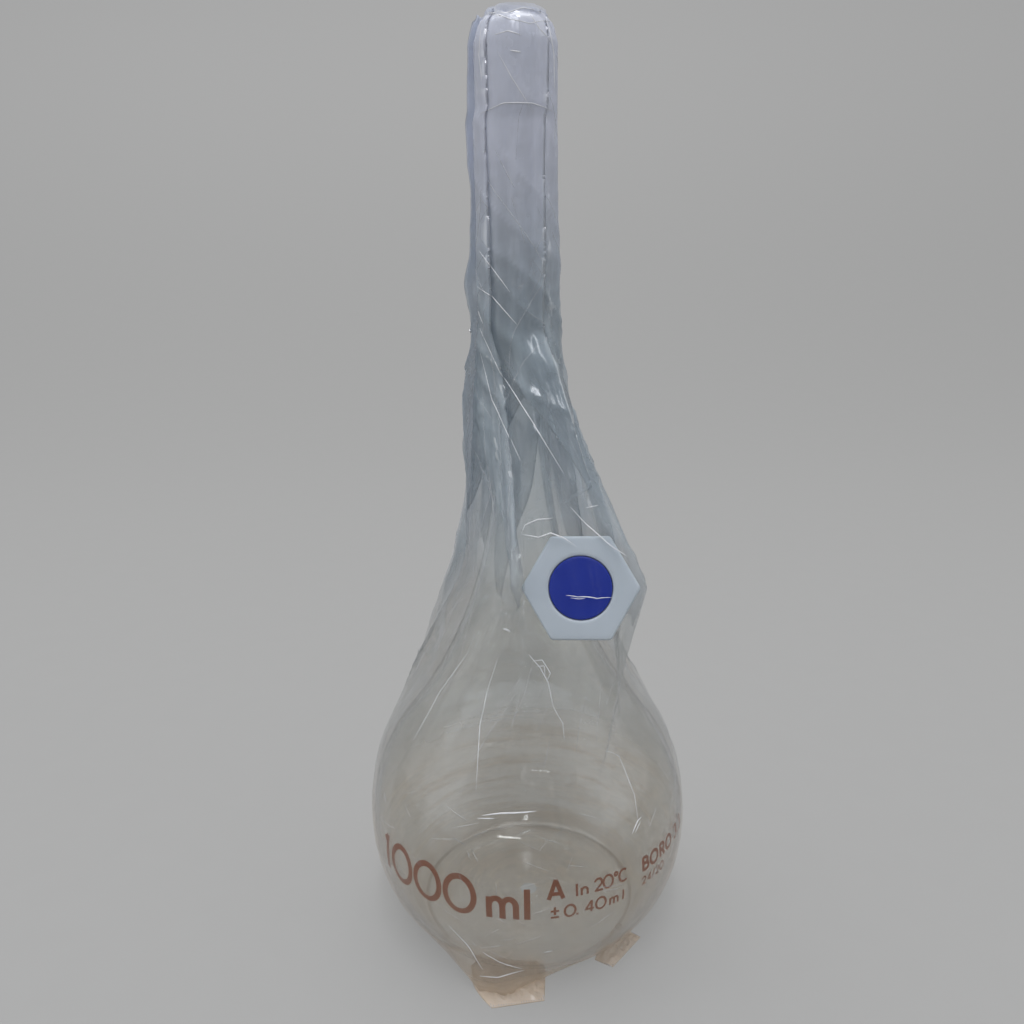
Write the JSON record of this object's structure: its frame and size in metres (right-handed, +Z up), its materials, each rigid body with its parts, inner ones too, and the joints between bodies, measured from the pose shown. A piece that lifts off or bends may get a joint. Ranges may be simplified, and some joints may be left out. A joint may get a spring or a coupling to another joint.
{
  "type": "volumetric flask",
  "caption": "Clear glass volumetric flask with a round bulb, a long narrow neck and a ground mouth, standing in its thin clear bag with a loose hexagonal stopper.",
  "frame": {"origin": "centre of the flat underside, on the bench, below the flask's axis", "axes": "+Z up along the flask's axis, -Y towards the front, where the capacity is printed, +X to the right seen from the front"},
  "size_m": [0.128, 0.128, 0.34],
  "materials": {
    "flask_glass": "clear, fire polished, ground matt inside the mouth",
    "fired_enamel": "fired amber-brown enamel, satin",
    "stopper_plastic": "natural milky polyethylene, satin, moulded",
    "insert_plastic": "royal blue moulded plastic",
    "bag_film": "thin clear crinkled film"
  },
  "bodies": {
    "bag": {"bag_foot": "bag_film", "bag_sleeve": "bag_film"},
    "flask": {"flask_body": "flask_glass", "graduation_ring": "fired_enamel", "capacity_print": "fired_enamel", "class_print": "fired_enamel", "temperature_print": "fired_enamel", "tolerance_print": "fired_enamel", "glass_type_print": "fired_enamel", "joint_size_print": "fired_enamel"},
    "stopper": {"stopper_body": "stopper_plastic", "stopper_insert": "insert_plastic"}
  },
  "joints": [
    {"name": "flask_lift", "type": "slide", "parent": "bag", "child": "flask", "axis": [0, 0, 1], "range_m": [0, 0.345], "deforming": ["bag_sleeve"]},
    {"name": "stopper_draw", "type": "slide", "parent": "flask", "child": "stopper", "axis": [-0.075, -0.9318, 0.3551], "range_m": [0, 0.06], "deforming": ["bag_sleeve"]}
  ],
  "couplings": [
    {"joint": "stopper_draw", "follows": "flask_lift", "ratio": 0.1739}
  ]
}
